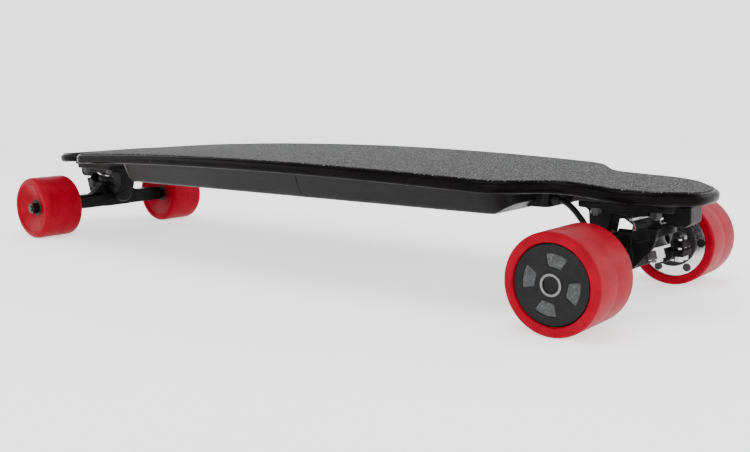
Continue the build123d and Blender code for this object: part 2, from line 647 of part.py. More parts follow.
def window_plan(grow=0.0):
    """One trapezoid window with rounded corners, in the plane of the wheel's face."""
    half = math.radians(WINDOW_ANGLE / 2)
    r0, r1 = WINDOW_R0 - grow, WINDOW_R1 + grow
    w0 = WINDOW_R0 * math.tan(half) + grow
    w1 = WINDOW_R1 * math.sin(half) + grow
    bulge = ThreePointArc((r1 * math.cos(half), -w1), (r1, 0), (r1 * math.cos(half), w1))
    rest = Polyline((r1 * math.cos(half), w1), (r0, w0), (r0, -w0), (r1 * math.cos(half), -w1))
    face = make_face([*bulge.edges(), *rest.edges()])
    return fillet(face.vertices(), 1.6 + grow)


def window_solids(y0, y1, grow=0.0):
    made = []
    for i in range(WINDOW_COUNT):
        turn = WINDOW_TURN + i * 360 / WINDOW_COUNT
        solid = Rot(-90, 0, 0) * extrude(window_plan(grow), y1 - y0)
        made.append(Rot(0, -turn, 0) * Pos(0, y0, 0) * solid)
    return made


def motor_cover():
    """Black disc over the motor's outer face, with four windows and a raised centre ring."""
    y0, y1 = COVER_Y, COVER_Y + COVER_T
    disc = about_y([(0, y0), (CAN_R, y0), (CAN_R, y1 - COVER_EDGE), (CAN_R - COVER_EDGE, y1),
                    (CAP_RING_R1, y1), (CAP_RING_R1, y1 + CAP_RING_H), (CAP_RING_R0, y1 + CAP_RING_H),
                    (CAP_RING_R0, y1 - 0.6), (0, y1 - 0.6)])
    for hole in window_solids(y0 + 1.2, y1 + 2):
        disc = disc - hole
    return disc


def motor_shaft():
    """Still shaft: clamped in the hanger, stepped for both bearings, bored for the phase leads."""
    y0 = CLAMP_Y0
    shaft = about_y([(0, y0), (SHAFT_R, y0), (SHAFT_R, INNER_BEARING_Y - 3),
                     (INNER_BEARING_BORE, INNER_BEARING_Y - 3),
                     (INNER_BEARING_BORE, INNER_BEARING_Y + INNER_BEARING_W),
                     (CORE_BORE, INNER_BEARING_Y + INNER_BEARING_W),
                     (CORE_BORE, STATOR_Y0 + STATOR_L), (OUTER_BEARING_BORE, OUTER_BEARING_Y),
                     (OUTER_BEARING_BORE, OUTER_BEARING_Y + OUTER_BEARING_W - 0.5),
                     (0, OUTER_BEARING_Y + OUTER_BEARING_W - 0.5)])
    return shaft - rod_y(3.2, y0 - 1, STATOR_Y0 - 2)


def stator():
    """Laminated core with its teeth, and one copper coil round each tooth."""
    y0, y1 = STATOR_Y0, STATOR_Y0 + STATOR_L
    root = STATOR_R - 8.5
    core = tube_y(root, CORE_BORE, y0, y1)
    shoe = tube_y(STATOR_R, STATOR_R - 1.6, y0, y1)
    step = 360 / STATOR_TEETH
    coils = []
    for i in range(STATOR_TEETH):
        turn = Rot(0, i * step, 0)
        mid_r = (root + STATOR_R) / 2
        tooth = turn * Pos(mid_r - 0.5, (y0 + y1) / 2, 0) * Box(STATOR_R - root, y1 - y0, 3.2)
        slot = turn * Rot(0, step / 2, 0) * Pos(STATOR_R, (y0 + y1) / 2, 0) * Box(6, STATOR_L + 2, 1.6)
        shoe = shoe - slot
        core = core + tooth
        length = STATOR_R - 1.6 - root - 1.0
        block = Pos(root + 0.5 + length / 2, (y0 + y1) / 2, 0) * Box(length, STATOR_L + 5, 6.6)
        hollow = Pos(root + 0.5 + length / 2, (y0 + y1) / 2, 0) * Box(length + 1, STATOR_L, 3.2)
        coils.append(turn * (block - hollow))
    return [core + shoe, *coils]


# ---------------------------------------------------------------- cases under the deck
def case_hull(x0, x1, offset):
    """Outer form of the cases between two stations, drawn in by offset: draft sides, ramped ends."""
    floor, top = CASE_FLOOR + offset, DECK_TOP
    at_top = CASE_HALF_TOP - offset
    at_floor = CASE_HALF_BOTTOM - offset
    drop = deck_z(0) - DECK_T - CASE_FLOOR
    lean = (CASE_HALF_TOP - CASE_HALF_BOTTOM) / drop
    up = at_floor + lean * (top - floor)
    section = make_face(Polyline([(-at_floor, floor), (at_floor, floor), (up, top), (-up, top)],
                                 close=True))
    long = extrude(Plane.YZ * section, 400, both=True)
    rise = deck_z(CASE_REAR_X) - DECK_T - CASE_FLOOR
    side = [(CASE_REAR_X + offset, DECK_TOP), (CASE_REAR_X + offset, floor + rise * 0.45),
            (CASE_REAR_X + CASE_REAR_RAMP + offset, floor), (CASE_FRONT_X - CASE_RAMP - offset, floor),
            (CASE_FRONT_X - offset, floor + rise * 0.45), (CASE_FRONT_X - offset, DECK_TOP)]
    hull = long & slab_y(side, 200)
    ends = [e for e in hull.edges() if abs(e.center().Y) > at_floor - 3 and abs((e @ 1).Z - (e @ 0).Z) > 5
            and not CASE_REAR_X + offset + 1 < e.center().X < CASE_FRONT_X - offset - 1]
    hull = fillet(ends, CASE_CORNER_R - offset)
    hull = fillet(hull.faces().sort_by(Axis.Z)[0].edges(), CASE_EDGE_R - offset)
    keep_box = Pos((x0 + x1) / 2, 0, 90) * Box(x1 - x0, 300, 80)
    return hull & keep_box


def under_deck(shape):
    """Trims a shape to the laminate's underside."""
    arc = Pos(0, 0, CAMBER_Z) * Rot(90, 0, 0) * Cylinder(CAMBER_R - DECK_T, 400)
    return shape & arc


def screw_places():
    """(x, side) of the case screws along both edges."""
    return [(x, side) for x in (-276, -140, -84, 10, 120, 212) for side in (1, -1)]


def case_shell(x0, x1, end_wall):
    """One case: the hollow shell and its screw bosses, trimmed to the deck."""
    outer = under_deck(case_hull(x0, x1, 0))
    ix0 = x0 + (CASE_WALL if end_wall < 0 else 0)
    ix1 = x1 - (CASE_WALL if end_wall > 0 else 0)
    inner = case_hull(ix0 - (0 if end_wall < 0 else 1), ix1 + (0 if end_wall > 0 else 1), CASE_WALL)
    shell = outer - inner
    for x, side in screw_places():
        if x0 < x < x1:
            at = Pos(x, side * CASE_SCREW_Y, 0)
            shell = shell + under_deck(at * rod_z(CASE_BOSS_R, CASE_FLOOR + 1, DECK_TOP))
            shell = shell - at * rod_z(CASE_SCREW_R + 0.2, 60, 140)
            shell = shell - at * rod_z(CASE_SCREW_HEAD_R + 0.4, 60, CASE_FLOOR + 3)
    return max(shell.solids(), key=lambda s: s.volume)


def case_screws():
    made = []
    for x, side in screw_places():
        seat = CASE_FLOOR + 3
        screw = rod_z(CASE_SCREW_HEAD_R, seat - 2.2, seat)
        screw = screw + rod_z(CASE_SCREW_R, seat, deck_z(x) - DECK_T + 6)
        screw = screw - hex_z(2.5, seat - 3, seat - 0.9)
        made.append(Pos(x, side * CASE_SCREW_Y, 0) * screw)
    return made


def outlet(offset):
    """Block at the middle of the rear end, drawn in by offset."""
    x0, x1 = OUTLET_X + offset, CASE_REAR_X + 16
    plan = RectangleRounded(x1 - x0 + 10, 2 * (OUTLET_Y - offset), 6 - offset)
    block = Pos((x0 + x1) / 2 + 5, 0, OUTLET_FLOOR + offset) * extrude(plan, 40)
    block = block & Pos((x0 + x1) / 2, 0, 100) * Box(x1 - x0, 100, 60)
    return under_deck(block)


def panel_plate(grow=0.0, y0=-120.0, y1=-60.0):
    plan = RectangleRounded(PANEL_L + 2 * grow, PANEL_H + 2 * grow, 3 + grow)
    solid = Rot(90, 0, 0) * extrude(plan, y1 - y0)
    return Pos(PANEL_X, y1, PANEL_Z) * solid


def make_cases():
    battery = case_shell(BRIDGE_X1 + SEAM_FRONT, CASE_FRONT_X, 1)
    controller = case_shell(CASE_REAR_X, BRIDGE_X0 - SEAM_REAR, -1)
    inside = case_hull(CASE_REAR_X, BRIDGE_X0, CASE_WALL)
    controller = controller + (outlet(0) - inside) - outlet(CASE_WALL)
    bridge = under_deck(case_hull(BRIDGE_X0, BRIDGE_X1, 0))
    bridge = bridge - case_hull(BRIDGE_X0 - 1, BRIDGE_X1 + 1, CASE_WALL)
    bridge = max(bridge.solids(), key=lambda s: s.volume)
    controller = controller - panel_plate(0.15)
    for side in (1, -1):
        hole = Pos(OUTLET_X, side * CABLE_EXIT_Y, CABLE_EXIT_Z) * Rot(0, 90, 0)
        controller = controller - hole * Cylinder(GROMMET_R, 12)
    for x, side in screw_places():
        PARTS["deck"] = PARTS["deck"] - Pos(x, side * CASE_SCREW_Y, 0) * rod_z(
            CASE_SCREW_R, 60, deck_z(x) - DECK_T + 6)
    keep("battery_case", battery)
    keep("controller_case", max(controller.solids(), key=lambda s: s.volume))
    keep("case_bridge", bridge)
    keep("case_screws", group(case_screws()))


def port_cap():
    """Round cap with a short plug and the knuckle it hangs on, in the port's own frame."""
    back = -PANEL_Y - PORT_CAP_GAP
    drop = HINGE_Z - PORT_Z
    hinge_y = back - KNUCKLE_R
    cap = rod_y(PORT_CAP_R, back - PORT_CAP_T, back)
    cap = fillet(cap.edges().sort_by(Axis.Y)[0], 0.8)
    plug = rod_y(PLUG_R, back, back + PORT_CAP_GAP + PLUG_L)
    strap = Pos(0, back - PORT_CAP_T / 2, drop / 2) * Box(KNUCKLE_L - 1, PORT_CAP_T, -drop)
    knuckle = Pos(0, hinge_y, drop) * Rot(0, 90, 0) * Cylinder(KNUCKLE_R, KNUCKLE_L)
    bore = Pos(0, hinge_y, drop) * Rot(0, 90, 0) * Cylinder(HINGE_R + FIT, KNUCKLE_L + 2)
    return cap + plug + strap + knuckle - bore


def cap_hinge():
    """Two lugs on the panel, joined by the hinge pin."""
    hinge_y = -PANEL_Y - PORT_CAP_GAP - KNUCKLE_R
    drop = HINGE_Z - PORT_Z
    reach = -PANEL_Y + 0.5 - hinge_y + KNUCKLE_R
    made = []
    for side in (1, -1):
        x = side * (KNUCKLE_L / 2 + 0.4 + LUG_T / 2)
        made.append(Pos(x, hinge_y - KNUCKLE_R + reach / 2, drop) * Box(LUG_T, reach, 2 * KNUCKLE_R))
    pin_l = KNUCKLE_L + 0.8 + 2 * LUG_T
    made.append(Pos(0, hinge_y, drop) * Rot(0, 90, 0) * Cylinder(HINGE_R, pin_l))
    return made[0] + made[1] + made[2]


def make_panel():
    """Port panel on the right side: its bezel, the switch and its button, the socket and its cap."""
    face = -PANEL_Y
    bezel = panel_plate(0, face, face + 9) - panel_plate(-1.8, face + PANEL_T, face + 20)
    bezel = bezel - Pos(BUTTON_X, 0, PORT_Z) * rod_y(BUTTON_R + FIT, -120, -60)
    bezel = bezel - Pos(PORT_X, 0, PORT_Z) * rod_y(PORT_R, -120, -60)
    bezel = bezel + Pos(PORT_X, 0, PORT_Z) * cap_hinge()
    socket = tube_y(PORT_R, PORT_BORE, face, face + 14)
    socket = socket + rod_y(PORT_R, face + 12, face + 15) + rod_y(1.0, face + 3, face + 13)
    button = rod_y(BUTTON_R, face - BUTTON_PROUD, face + 4.0)
    button = fillet(button.edges().sort_by(Axis.Y)[0], 0.8)
    switch = Pos(0, face + 4.0 + BUTTON_TRAVEL + 4.3, 0) * Box(13, 7.6, 11)
    lugs = [Pos(dx, face + 4.0 + BUTTON_TRAVEL + 10.0, 0) * Box(1.2, 4, 3) for dx in (-3.5, 3.5)]
    keep("port_panel", bezel)
    keep("charge_socket", Pos(PORT_X, 0, PORT_Z) * socket)
    keep("power_switch", Pos(BUTTON_X, 0, PORT_Z) * (switch + lugs[0] + lugs[1]))
    keep("power_button", Pos(BUTTON_X, 0, PORT_Z) * button)
    keep("charge_port_cap", Pos(PORT_X, 0, PORT_Z) * port_cap())


def make_electrics():
    """Cells, circuit boards, heat spreader and the lead between them, inside the cases."""
    floor = CASE_FLOOR + CASE_WALL
    cell_z = floor + CELL_R + 0.3
    cells = []
    for row in range(CELL_ROWS):
        for side in (1, -1):
            can = rod_y(CELL_R, 1.5, 1.5 + CELL_L)
            tip = rod_y(3.0, 1.5 + CELL_L, 3.0 + CELL_L)
            cell = Pos(CELL_FIRST_X + row * CELL_PITCH, 0, cell_z) * (can + tip)
            cells.append(cell if side == 1 else mirrored(cell))
    keep("battery_cells", group(cells))
    spreader = Pos(-170, 0, floor + 1.5) * Box(120, 110, 3)
    keep("heat_spreader", chamfer(spreader.edges().filter_by(Axis.Z), 4))
    drive = Pos(-170, 0, floor + 4.8) * Box(110, 92, 1.6)
    for i in range(6):
        row, side = divmod(i, 2)
        drive = drive + Pos(-200 + row * 24, 24 if side else -24, floor + 7.6) * Box(10, 15, 4.2)
    for i in range(3):
        can = Pos(-128, -28 + i * 20, floor + 5.6 + 5) * Rot(90, 0, 0) * Cylinder(4.6, 16)
        drive = drive + can + Pos(-128, -28 + i * 20, floor + 6.5) * Box(4, 6, 3)
    guard = Pos(-12, 0, floor + 3) * Box(34, 120, 1.6)
    for i in range(5):
        guard = guard + Pos(-12, -44 + i * 22, floor + 5) * Box(9, 8, 3)
    keep("circuit_boards", group([drive, guard]))
    leads = [Pos(0, y, floor + 6.0) * Rot(0, 90, 0) * Cylinder(1.8, 84) for y in (-52, -46)]
    keep("battery_leads", group([Pos(-71, 0, 0) * lead for lead in leads]))


def cord_tube(points, diameter):
    """A round lead along straight runs joined by tangent arcs, as large as the runs allow."""
    points = [Vector(*p) for p in points]
    runs = [b - a for a, b in zip(points, points[1:])]
    radii = []
    for a, b in zip(runs, runs[1:]):
        turn = math.radians(a.get_angle(b))
        radii.append(0.45 * min(a.length, b.length) / math.tan(turn / 2))
    print("lead radii", [round(r, 1) for r in radii], "runs", [round(r.length, 1) for r in runs])
    path = FilletPolyline(*points, radius=radii)
    start = Plane(origin=points[0], z_dir=runs[0])
    tube = sweep(start * Circle(diameter / 2), path=path)
    print("lead volume", round(tube.volume, 1), round(math.pi * diameter ** 2 / 4 * path.length, 1))
    return tube


def make_leads():
    """Motor leads: out of the case's rear end, over the hanger's arms and down into them."""
    exit_x = OUTLET_X - GROMMET_L + 2.0
    end = Vector(-HALF_BASE - CABLE_END_X, CABLE_END_Y, REAR_R + CABLE_END_Z)
    dive = math.radians(CABLE_DIVE)
    over = end + Vector(math.cos(dive), 0, math.sin(dive)) * 22
    route = [(exit_x, CABLE_EXIT_Y, CABLE_EXIT_Z), (exit_x - 9, CABLE_EXIT_Y, CABLE_EXIT_Z), over, end]
    left = cord_tube(route, CABLE_D)
    keep("left_motor_lead", left)
    keep("right_motor_lead", mirrored(left))
    grommet = Rot(0, -90, 0) * (Cylinder(GROMMET_R, 6) + Pos(0, 0, 4.5) * Cone(GROMMET_R + 1.2, 3.8, 5))
    grommets = []
    for side in (1, -1):
        at = Pos(OUTLET_X, side * CABLE_EXIT_Y, CABLE_EXIT_Z)
        grommets.append(at * (grommet - Rot(0, 90, 0) * Cylinder(CABLE_D / 2 + 0.02, 40)))
    keep("lead_grommets", group(grommets))


# ---------------------------------------------------------------- assembly
def make_trucks():
    front = Pos(HALF_BASE, 0, FRONT_R)
    rear = Pos(-HALF_BASE, 0, REAR_R) * Rot(0, 0, 180)
    both = (front, rear)
    plate = baseplate()
    keep("front_baseplate", front * plate)
    keep("rear_baseplate", rear * plate)
    keep("kingpins", group([at * kingpin() for at in both]))
    keep("kingpin_nuts", group([at * kingpin_nut() for at in both]))
    keep("cup_washers", group([at * w for at in both for w in cup_washers()]))
    keep("front_bushings", group([front * b for b in bushings()]))
    keep("rear_bushings", group([rear * b for b in bushings()]))
    keep("pivot_cups", group([at * pivot_cup() for at in both]))
    keep("front_hanger", front * front_hanger())
    keep("rear_hanger", rear * rear_hanger())
    keep("axle_clamp_bolts", group([rear * b for b in clamp_bolts()]))


def make_front_wheels():
    at = Pos(HALF_BASE, 0, FRONT_R)
    turning, still, nut = front_side()
    wheel = front_wheel()
    end = FRONT_OUTER_Y - FRONT_DISH_OUT + SPEED_WASHER + AXLE_NUT_H + 1.5
    keep("front_axle", at * rod_y(AXLE_R, -end, end))
    keep("front_axle_nuts", group([at * nut, at * mirrored(nut)]))
    keep("front_bearing_inners", group([at * s for s in still] + [at * mirrored(s) for s in still]))
    for side, put in (("left", lambda s: s), ("right", mirrored)):
        keep(f"front_{side}_wheel", at * put(wheel))
        keep(f"front_{side}_bearings", group([at * put(s) for s in turning]))


def make_hub_motors():
    at = Pos(-HALF_BASE, 0, REAR_R)
    outer_a, inner_a = bearing(INNER_BEARING_R, INNER_BEARING_BORE, INNER_BEARING_Y,
                               INNER_BEARING_W, 1.9)
    outer_b, inner_b = bearing(OUTER_BEARING_R, OUTER_BEARING_BORE, OUTER_BEARING_Y,
                               OUTER_BEARING_W, 2.6)
    pieces = {
        "tyre": [rear_tyre()],
        "rotor_can": [rotor_can()],
        "magnets": magnets(),
        "end_plate": [end_plate()],
        "end_plate_screws": end_screws(),
        "motor_cover": [motor_cover()],
        "cover_windows": window_solids(COVER_Y + 1.2, COVER_Y + COVER_T - 0.5),
        "bearings": [outer_a, outer_b],
        "dust_seal": [tube_y(SEAL_R1, SEAL_R0, END_PLATE_Y - SEAL_T, END_PLATE_Y)],
    }
    for side, put in (("left", lambda s: s), ("right", mirrored)):
        for name, solids in pieces.items():
            keep(f"rear_{side}_{name}", group([at * put(s) for s in solids]))
    both = (lambda s: s, mirrored)
    keep("motor_shafts", group([at * put(motor_shaft()) for put in both]))
    keep("stators", group([at * put(s) for put in both for s in stator()]))
    keep("rear_bearing_inners", group([at * put(s) for put in both for s in (inner_a, inner_b)]))


make_deck()
make_risers()
make_trucks()
make_front_wheels()
make_hub_motors()
make_cases()
make_panel()
make_electrics()
make_leads()

os.makedirs("parts", exist_ok=True)
for node, shape in PARTS.items():
    export_step(shape, f"parts/{node}.step")
print(len(PARTS), "nodes")
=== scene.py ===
"""Looks of the electric skateboard: materials, detailed pieces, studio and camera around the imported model.

Everything is in metres in the model's own frame: +X forward, +Y left, +Z up, ground at z = 0.
"""
import json
import math

import bmesh
import bpy
from mathutils import Matrix, Vector


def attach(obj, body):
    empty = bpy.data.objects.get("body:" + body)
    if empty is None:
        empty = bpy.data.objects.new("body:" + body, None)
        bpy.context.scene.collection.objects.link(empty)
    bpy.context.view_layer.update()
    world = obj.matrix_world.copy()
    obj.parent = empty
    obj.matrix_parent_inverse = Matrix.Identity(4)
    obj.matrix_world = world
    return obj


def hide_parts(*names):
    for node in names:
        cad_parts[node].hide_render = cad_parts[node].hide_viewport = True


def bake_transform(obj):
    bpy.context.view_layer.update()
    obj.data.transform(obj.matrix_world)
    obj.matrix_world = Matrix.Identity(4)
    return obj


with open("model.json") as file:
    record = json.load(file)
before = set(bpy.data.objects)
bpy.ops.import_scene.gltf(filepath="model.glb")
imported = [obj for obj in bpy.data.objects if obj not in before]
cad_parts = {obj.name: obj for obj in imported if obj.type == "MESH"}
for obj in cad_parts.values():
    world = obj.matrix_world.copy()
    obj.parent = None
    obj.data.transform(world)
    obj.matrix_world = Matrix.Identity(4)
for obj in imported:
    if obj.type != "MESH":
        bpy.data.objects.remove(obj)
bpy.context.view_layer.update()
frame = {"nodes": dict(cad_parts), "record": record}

MM = 0.001
HALF_BASE = 0.388
FRONT_R, REAR_R = 0.040, 0.0415
TILT = math.radians(17)
RING_X, RING_Z = 0.016, 0.023
BUSHING_LOW, BUSHING_HIGH = 3.0, 13.5        # ends of a bushing along the kingpin, from the ring, mm
CASTING_VOXEL, CASTING_SMOOTHING = 0.7, 5    # mm, passes
SIDES = (("left", 1), ("right", -1))

# mm: a front wheel's faces, dish rims and bearing seats, and a rear wheel's faces
FRONT_FACES, FRONT_DISHES = (74.0, 128.0), (10.0, 9.0)
REAR_FACES, REAR_BORE = (89.5, 149.5), 33.0
LEAD_ROUTE = [(-327, 20, 89.2), (-336, 20, 89.2), (-376.7, 50.5, 62.4), (-386, 50.5, 42.5)]
LEAD_R = 2.8

STUDIO_FLOOR_R, STUDIO_COVE, STUDIO_WALL = 3.2, 1.6, 3.4
CAMERA_AT = (-0.714, 0.755, 0.192)
CAMERA_YAW, CAMERA_PITCH, CAMERA_ROLL = 50.59, -8.68, -0.67


# ---------------------------------------------------------------- node materials
class Shader:
    """A node tree around one Principled shader, with short calls for the nodes used here."""

    def __init__(self, name, **sockets):
        self.mat = bpy.data.materials.new(name)
        self.mat.use_nodes = True
        self.tree = self.mat.node_tree
        self.bsdf = self.tree.nodes["Principled BSDF"]
        for key, value in sockets.items():
            self.bsdf.inputs[key.replace("_", " ")].default_value = value
        self.coords = self.node("ShaderNodeTexCoord").outputs["Object"]

    def node(self, kind, **props):
        made = self.tree.nodes.new(kind)
        for key, value in props.items():
            setattr(made, key, value)
        return made

    def link(self, source, target):
        self.tree.links.new(source, target)

    def mapped(self, scale=(1, 1, 1), offset=(0, 0, 0), rotation=(0, 0, 0)):
        """Object coordinates in millimetres, moved, turned and scaled."""
        place = self.node("ShaderNodeMapping", vector_type="TEXTURE")
        place.inputs["Location"].default_value = offset
        place.inputs["Rotation"].default_value = rotation
        place.inputs["Scale"].default_value = [MM / s for s in scale]
        self.link(self.coords, place.inputs["Vector"])
        return place.outputs["Vector"]

    def noise(self, size_mm, detail=3.0, rough=0.5, vector=None, distort=0.0):
        tex = self.node("ShaderNodeTexNoise")
        tex.inputs["Scale"].default_value = 1 / size_mm
        tex.inputs["Detail"].default_value = detail
        tex.inputs["Roughness"].default_value = rough
        tex.inputs["Distortion"].default_value = distort
        self.link(vector or self.mapped(), tex.inputs["Vector"])
        return tex.outputs["Fac"]

    def cells(self, size_mm, vector=None, output="Distance", feature="F1"):
        tex = self.node("ShaderNodeTexVoronoi", feature=feature)
        tex.inputs["Scale"].default_value = 1 / size_mm
        self.link(vector or self.mapped(), tex.inputs["Vector"])
        return tex.outputs[output]

    def math(self, operation, a, b=None, clamp=False):
        made = self.node("ShaderNodeMath", operation=operation, use_clamp=clamp)
        for value, socket in ((a, made.inputs[0]), (b, made.inputs[1])):
            if value is None:
                continue
            if isinstance(value, (int, float)):
                socket.default_value = value
            else:
                self.link(value, socket)
        return made.outputs[0]

    def ramp(self, fac, stops):
        """stops: (position, grey or colour) pairs."""
        made = self.node("ShaderNodeValToRGB")
        row = made.color_ramp.elements
        while len(row) < len(stops):
            row.new(0.5)
        for element, (at, colour) in zip(row, stops):
            element.position = at
            grey = isinstance(colour, (int, float))
            element.color = (colour, colour, colour, 1) if grey else (*colour, 1)
        self.link(fac, made.inputs["Fac"])
        return made.outputs["Color"]

    def span(self, fac, low, high, from_low=0.0, from_high=1.0):
        made = self.node("ShaderNodeMapRange")
        made.inputs["From Min"].default_value = from_low
        made.inputs["From Max"].default_value = from_high
        made.inputs["To Min"].default_value = low
        made.inputs["To Max"].default_value = high
        self.link(fac, made.inputs["Value"])
        return made.outputs["Result"]

    def mix(self, fac, a, b):
        made = self.node("ShaderNodeMix", data_type="RGBA")
        if isinstance(fac, (int, float)):
            made.inputs[0].default_value = fac
        else:
            self.link(fac, made.inputs[0])
        for value, socket in ((a, made.inputs[6]), (b, made.inputs[7])):
            if isinstance(value, tuple):
                socket.default_value = (*value, 1)
            else:
                self.link(value, socket)
        return made.outputs[2]

    def radius(self, centre_x, centre_z):
        """Distance in mm from an axle that runs along Y."""
        split = self.node("ShaderNodeSeparateXYZ")
        self.link(self.coords, split.inputs[0])
        dx = self.math("SUBTRACT", split.outputs["X"], centre_x)
        dz = self.math("SUBTRACT", split.outputs["Z"], centre_z)
        squares = self.math("ADD", self.math("MULTIPLY", dx, dx), self.math("MULTIPLY", dz, dz))
        return self.math("MULTIPLY", self.math("SQRT", squares), 1000.0)

    def axis(self, name):
        split = self.node("ShaderNodeSeparateXYZ")
        self.link(self.coords, split.inputs[0])
        return self.math("MULTIPLY", split.outputs[name], 1000.0)

    def bump(self, height, strength, depth_mm, under=None):
        made = self.node("ShaderNodeBump")
        made.inputs["Strength"].default_value = strength
        made.inputs["Distance"].default_value = depth_mm * MM
        self.link(height, made.inputs["Height"])
        if under is not None:
            self.link(under, made.inputs["Normal"])
        return made.outputs["Normal"]

    def done(self, colour=None, roughness=None, normal=None, metallic=None):
        for value, key in ((colour, "Base Color"), (roughness, "Roughness"), (normal, "Normal"),
                           (metallic, "Metallic")):
            if value is not None:
                self.link(value, self.bsdf.inputs[key])
        return self.mat


def lacquer():
    """Thick black polyurethane lacquer over maple, with orange peel, dust nibs and hairline scuffs."""
    s = Shader("deck_lacquer", Coat_Weight=0.02, Coat_Roughness=0.08, Specular_IOR_Level=0.02)
    tone = s.ramp(s.noise(38, 2), [(0.3, (0.0022, 0.0019, 0.0022)), (0.7, (0.0040, 0.0028, 0.0030))])
    scuff = s.noise(6, 8, 0.75, s.mapped((0.12, 1, 1)))
    rough = s.span(s.math("ADD", s.math("MULTIPLY", scuff, 0.6), s.math("MULTIPLY", s.noise(45, 2), 0.4)),
                   0.10, 0.26, 0.35, 0.7)
    peel = s.bump(s.noise(2.2, 2), 0.08, 0.12)
    nibs = s.bump(s.ramp(s.cells(7), [(0.0, 1.0), (0.035, 0.0)]), 0.25, 0.05, peel)
    return s.done(tone, rough, nibs)


def grip():
    """Silicon carbide grains in black binder: close-set grains, the brightest of them painted light grey as
    painted glints, faint dust.
    """
    s = Shader("grip", Specular_IOR_Level=0.1)
    flat = s.mapped()
    grain = s.cells(0.95, flat, "Color")
    tint = s.node("ShaderNodeSeparateColor")
    s.link(grain, tint.inputs[0])
    clump = s.noise(1.5, 3, 0.7, flat)
    worn = s.noise(55, 3, 0.6, flat)
    # dark grain tone plus painted glints: the top stops of this ramp paint a few grains light grey in place
    # of sparkle from the lights
    grit_and_painted_glints = s.ramp(tint.outputs[0], [(0.0, 0.003), (0.5, 0.008), (0.8, 0.028), (0.94, 0.13), (1.0, 0.36)])
    dark = s.mix(s.span(clump, 0.0, 0.75, 0.35, 0.62), grit_and_painted_glints, (0.010, 0.0105, 0.0115))
    colour = s.mix(s.span(worn, 0.0, 0.18, 0.45, 0.8), dark, (0.045, 0.046, 0.049))
    rough = s.span(tint.outputs[1], 0.38, 0.85)
    height = s.math("ADD", s.math("MULTIPLY", s.cells(0.95, flat), -1.0), s.math("MULTIPLY", clump, 0.9))
    return s.done(colour, rough, s.bump(height, 0.9, 0.45))


def urethane(name, centre_x, radius):
    """Cast red polyurethane: slightly translucent, glossy sides, a rubbed tread with fine dust."""
    s = Shader(name, Specular_IOR_Level=0.04, Subsurface_Weight=0.02, Subsurface_Scale=0.002)
    s.bsdf.inputs["Subsurface Radius"].default_value = (1.0, 0.12, 0.08)
    away = s.radius(centre_x, radius)
    tread = s.span(away, 0.0, 1.0, radius * 1000 - 1.6, radius * 1000 - 0.2)
    cloud = s.noise(16, 3, 0.6)
    body = s.ramp(cloud, [(0.3, (0.19, 0.0002, 0.007)), (0.72, (0.26, 0.0004, 0.011))])
    dust = s.math("MULTIPLY", tread, s.span(s.noise(3.5, 6, 0.7), 0.0, 0.35, 0.45, 0.75))
    colour = s.mix(dust, body, (0.30, 0.006, 0.020))
    fine = s.noise(0.9, 5, 0.7)
    rough = s.math("ADD", s.span(fine, 0.20, 0.30, 0.3, 0.7), s.math("MULTIPLY", tread, 0.14))
    rings = s.math("SINE", s.math("MULTIPLY", away, 9.0))
    sides = s.bump(rings, 0.05, 0.03)
    rub = s.bump(s.noise(0.7, 4, 0.7, s.mapped((1, 0.5, 1))), 0.16, 0.06, sides)
    return s.done(colour, rough, rub)


def cast_black(name="truck_black", base=0.0045, rough_low=0.30, rough_high=0.48):
    """Satin black powder coat on a casting: pebbled film, thinner and shinier in places."""
    s = Shader(name, Specular_IOR_Level=0.05, Coat_Weight=0.02, Coat_Roughness=0.2)
    tone = s.ramp(s.noise(9, 4, 0.6), [(0.3, base * 0.8), (0.7, base * 1.7)])
    chips = s.ramp(s.cells(11, output="Distance"), [(0.0, 1.0), (0.018, 0.0)])
    colour = s.mix(s.math("MULTIPLY", chips, 0.35), tone, (0.16, 0.16, 0.165))
    rough = s.span(s.noise(5, 4, 0.65), rough_low, rough_high, 0.3, 0.7)
    return s.done(colour, rough, s.bump(s.noise(0.55, 3, 0.55), 0.22, 0.12))


def case_plastic():
    """Moulded black case with a fine spark texture and faint flow marks."""
    s = Shader("case_plastic", Specular_IOR_Level=0.10)
    tone = s.ramp(s.noise(60, 3, 0.6, s.mapped((0.3, 1, 1))), [(0.3, 0.006), (0.7, 0.011)])
    rub = s.noise(4, 7, 0.75, s.mapped((0.2, 1, 1)))
    colour = s.mix(s.span(rub, 0.0, 0.25, 0.55, 0.8), tone, (0.05, 0.05, 0.052))
    rough = s.span(s.noise(22, 4, 0.6), 0.28, 0.42, 0.3, 0.7)
    return s.done(colour, rough, s.bump(s.noise(0.28, 2, 0.5), 0.30, 0.06))


def steel(name, base=0.52, rough=0.27, warm=0.0, brush=(1, 1, 1)):
    """Zinc-plated or ground steel with fine scratches and cloudy plating."""
    s = Shader(name, Metallic=1.0, Specular_IOR_Level=0.5)
    lo = (base * 0.78, base * 0.78 * (1 - warm * 0.5), base * 0.79 * (1 - warm))
    hi = (base * 1.12, base * 1.12 * (1 - warm * 0.5), base * 1.14 * (1 - warm))
    tone = s.ramp(s.noise(2.6, 4, 0.65), [(0.3, lo), (0.7, hi)])
    scratch = s.noise(0.5, 4, 0.6, s.mapped(brush))
    roughness = s.span(scratch, rough - 0.08, rough + 0.12, 0.3, 0.7)
    return s.done(tone, roughness, s.bump(scratch, 0.10, 0.03))


